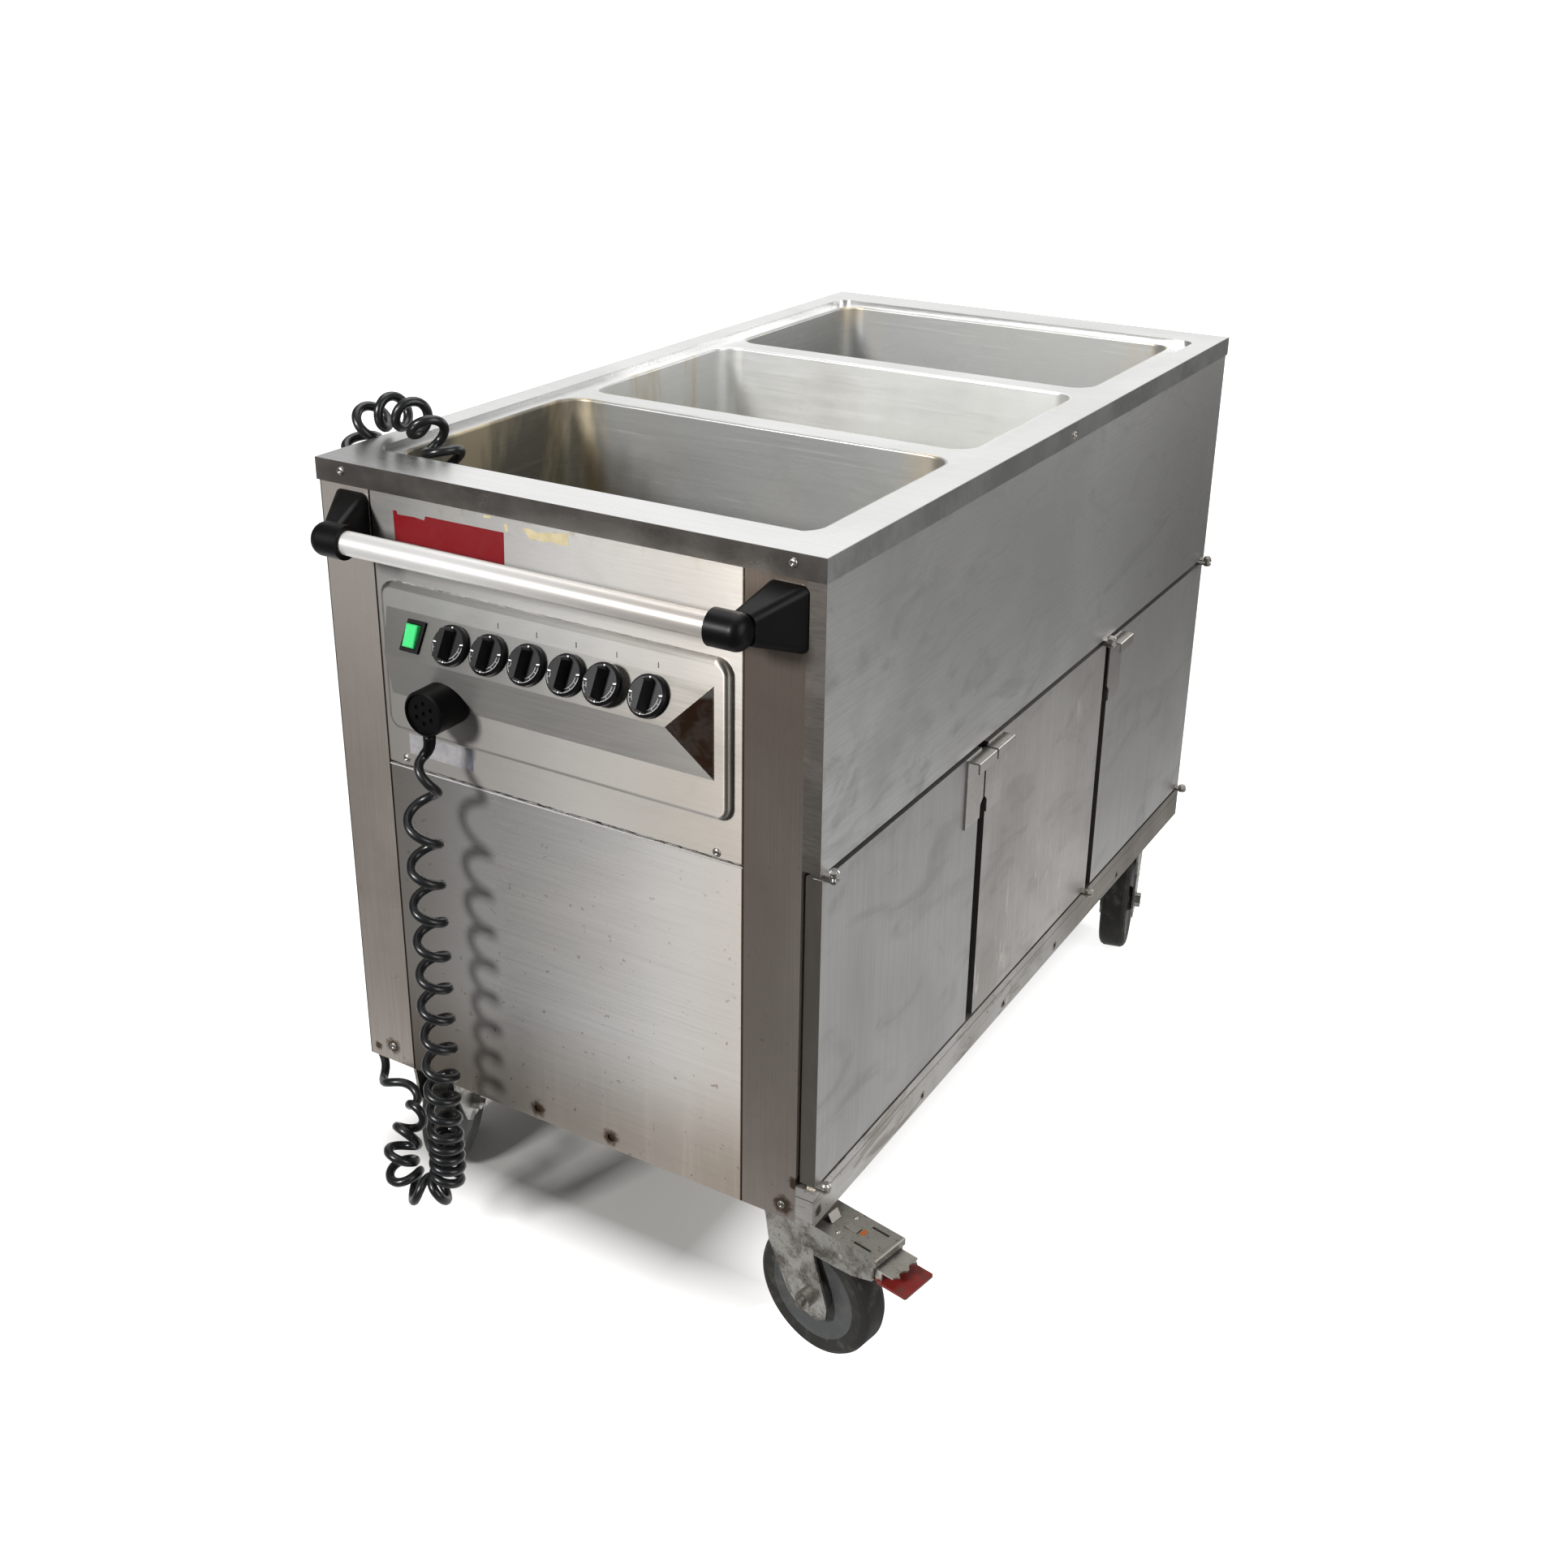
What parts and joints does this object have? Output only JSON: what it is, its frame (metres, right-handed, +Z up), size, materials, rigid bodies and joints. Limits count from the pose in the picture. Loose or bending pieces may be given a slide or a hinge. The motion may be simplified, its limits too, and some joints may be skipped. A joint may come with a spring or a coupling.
{
  "type": "bain marie counter",
  "caption": "Mobile stainless bain marie counter with heated wells, side cupboards, push bar, sloped control strip, spiral cord and braked swivel castors.",
  "frame": {"origin": "middle of the floor area of the counter with its push bar and castors, on the floor, without the free cord", "axes": "+X towards the side with the doors, +Y along the counter away from the end with the controls, +Z up"},
  "size_m": [0.7755, 1.225, 0.9708],
  "materials": {
    "deck_steel": "satin rolled stainless sheet",
    "body_steel": "brushed stainless sheet, lightly stained",
    "door_steel": "brushed stainless sheet",
    "well_steel": "drawn stainless, satin",
    "hidden_steel": "plain folded sheet",
    "hinge_steel": "bright plated steel",
    "bar_steel": "satin tube",
    "moulding_black": "moulded, satin black",
    "knob_black": "moulded, satin black",
    "switch_green": "translucent green, glossy",
    "cord_black": "black sheath, semi-matte",
    "heater_silver": "plain sheath plate",
    "control_body": "moulded control body",
    "castor_zinc": "zinc plated, spotted with rust",
    "tyre_grey": "soft grey-black rubber",
    "hub_grey": "moulded grey hub",
    "pedal_red": "worn red paint"
  },
  "bodies": {
    "counter_frame": {"base_channels": "hidden_steel", "cupboard_floor": "hidden_steel", "side_skirt": "body_steel", "front_posts": "body_steel", "rear_posts": "body_steel", "side_panel_left": "body_steel", "side_panel_right": "body_steel", "rear_panel": "body_steel", "lower_front_panel": "body_steel", "control_panel": "body_steel", "cupboard_ceiling": "hidden_steel", "cupboard_partitions": "hidden_steel", "top_deck": "deck_steel", "well_front": "well_steel", "well_middle": "well_steel", "well_rear": "well_steel", "well_heaters": "heater_silver", "heat_regulators": "control_body", "rocker_bezel": "moulding_black", "push_bar": "bar_steel", "push_bar_bracket_left": "moulding_black", "push_bar_bracket_right": "moulding_black", "cord_outlet": "moulding_black", "spiral_cord": "cord_black", "cord_plug": "moulding_black", "hinge_lugs": "hinge_steel", "castor_plates": "castor_zinc"},
    "door_front_leaf": {"door_front": "door_steel", "door_front_handle": "hinge_steel", "door_front_pins": "hinge_steel"},
    "door_middle_leaf": {"door_middle": "door_steel", "door_middle_handle": "hinge_steel", "door_middle_pins": "hinge_steel"},
    "door_rear_leaf": {"door_rear": "door_steel", "door_rear_handle": "hinge_steel", "door_rear_pins": "hinge_steel"},
    "knob_1_dial": {"knob_1": "knob_black"},
    "knob_2_dial": {"knob_2": "knob_black"},
    "knob_3_dial": {"knob_3": "knob_black"},
    "knob_4_dial": {"knob_4": "knob_black"},
    "knob_5_dial": {"knob_5": "knob_black"},
    "knob_6_dial": {"knob_6": "knob_black"},
    "rocker": {"rocker_button": "switch_green"},
    "castor_fl": {"castor_fl_fork": "castor_zinc"},
    "castor_fl_wheel": {"castor_fl_tyre": "tyre_grey", "castor_fl_hub": "hub_grey"},
    "castor_fr": {"castor_fr_fork": "castor_zinc", "castor_fr_brake_plate": "castor_zinc"},
    "castor_fr_wheel": {"castor_fr_tyre": "tyre_grey", "castor_fr_hub": "hub_grey"},
    "castor_fr_brake": {"castor_fr_pedal": "pedal_red"},
    "castor_rl": {"castor_rl_fork": "castor_zinc", "castor_rl_brake_plate": "castor_zinc"},
    "castor_rl_wheel": {"castor_rl_tyre": "tyre_grey", "castor_rl_hub": "hub_grey"},
    "castor_rl_brake": {"castor_rl_pedal": "pedal_red"},
    "castor_rr": {"castor_rr_fork": "castor_zinc"},
    "castor_rr_wheel": {"castor_rr_tyre": "tyre_grey", "castor_rr_hub": "hub_grey"}
  },
  "joints": [
    {"name": "door_front_hinge", "type": "hinge", "parent": "counter_frame", "child": "door_front_leaf", "pos_m": [0.25546, -0.515, 0.4], "axis": [0, 0, -1], "range_deg": [0, 180]},
    {"name": "door_middle_hinge", "type": "hinge", "parent": "counter_frame", "child": "door_middle_leaf", "pos_m": [0.25546, 0.21, 0.4], "axis": [0, 0, 1], "range_deg": [0, 160]},
    {"name": "door_rear_hinge", "type": "hinge", "parent": "counter_frame", "child": "door_rear_leaf", "pos_m": [0.25546, 0.588, 0.4], "axis": [0, 0, 1], "range_deg": [0, 180]},
    {"name": "knob_1_turn", "type": "hinge", "parent": "counter_frame", "child": "knob_1_dial", "pos_m": [-0.17504, -0.5465, 0.754], "axis": [0, 0.8682, -0.4961], "range_deg": [0, 285]},
    {"name": "knob_2_turn", "type": "hinge", "parent": "counter_frame", "child": "knob_2_dial", "pos_m": [-0.12654, -0.5465, 0.754], "axis": [0, 0.8682, -0.4961], "range_deg": [0, 285]},
    {"name": "knob_3_turn", "type": "hinge", "parent": "counter_frame", "child": "knob_3_dial", "pos_m": [-0.07804, -0.5465, 0.754], "axis": [0, 0.8682, -0.4961], "range_deg": [0, 285]},
    {"name": "knob_4_turn", "type": "hinge", "parent": "counter_frame", "child": "knob_4_dial", "pos_m": [-0.02954, -0.5465, 0.754], "axis": [0, 0.8682, -0.4961], "range_deg": [0, 285]},
    {"name": "knob_5_turn", "type": "hinge", "parent": "counter_frame", "child": "knob_5_dial", "pos_m": [0.01896, -0.5465, 0.754], "axis": [0, 0.8682, -0.4961], "range_deg": [0, 285]},
    {"name": "knob_6_turn", "type": "hinge", "parent": "counter_frame", "child": "knob_6_dial", "pos_m": [0.06746, -0.5465, 0.754], "axis": [0, 0.8682, -0.4961], "range_deg": [0, 285]},
    {"name": "rocker_press", "type": "hinge", "parent": "counter_frame", "child": "rocker", "pos_m": [-0.22554, -0.5491, 0.75549], "axis": [1, 0, 0], "range_deg": [-14, 0]},
    {"name": "castor_fl_swivel", "type": "hinge", "parent": "counter_frame", "child": "castor_fl", "pos_m": [-0.30554, -0.4705, 0.18], "axis": [0, 0, 1], "continuous": true},
    {"name": "castor_fl_roll", "type": "hinge", "parent": "castor_fl", "child": "castor_fl_wheel", "pos_m": [-0.3224, -0.42878, 0.075], "axis": [-0.9272, -0.3746, 0], "continuous": true},
    {"name": "castor_fr_swivel", "type": "hinge", "parent": "counter_frame", "child": "castor_fr", "pos_m": [0.19146, -0.4705, 0.18], "axis": [0, 0, 1], "continuous": true},
    {"name": "castor_fr_roll", "type": "hinge", "parent": "castor_fr", "child": "castor_fr_wheel", "pos_m": [0.23568, -0.47885, 0.075], "axis": [0.1857, 0.9826, 0], "continuous": true},
    {"name": "castor_fr_brake_press", "type": "hinge", "parent": "castor_fr", "child": "castor_fr_brake", "pos_m": [0.27793, -0.48684, 0.153], "axis": [0.1857, 0.9826, 0], "range_deg": [0, 12]},
    {"name": "castor_rl_swivel", "type": "hinge", "parent": "counter_frame", "child": "castor_rl", "pos_m": [-0.30554, 0.5435, 0.18], "axis": [0, 0, 1], "continuous": true},
    {"name": "castor_rl_roll", "type": "hinge", "parent": "castor_rl", "child": "castor_rl_wheel", "pos_m": [-0.28581, 0.50305, 0.075], "axis": [0.8988, 0.4384, 0], "continuous": true},
    {"name": "castor_rl_brake_press", "type": "hinge", "parent": "castor_rl", "child": "castor_rl_brake", "pos_m": [-0.26696, 0.46441, 0.153], "axis": [0.8988, 0.4384, 0], "range_deg": [0, 12]},
    {"name": "castor_rr_swivel", "type": "hinge", "parent": "counter_frame", "child": "castor_rr", "pos_m": [0.19146, 0.5435, 0.18], "axis": [0, 0, 1], "continuous": true},
    {"name": "castor_rr_roll", "type": "hinge", "parent": "castor_rr", "child": "castor_rr_wheel", "pos_m": [0.20197, 0.49974, 0.075], "axis": [0.9724, 0.2334, 0], "continuous": true}
  ]
}
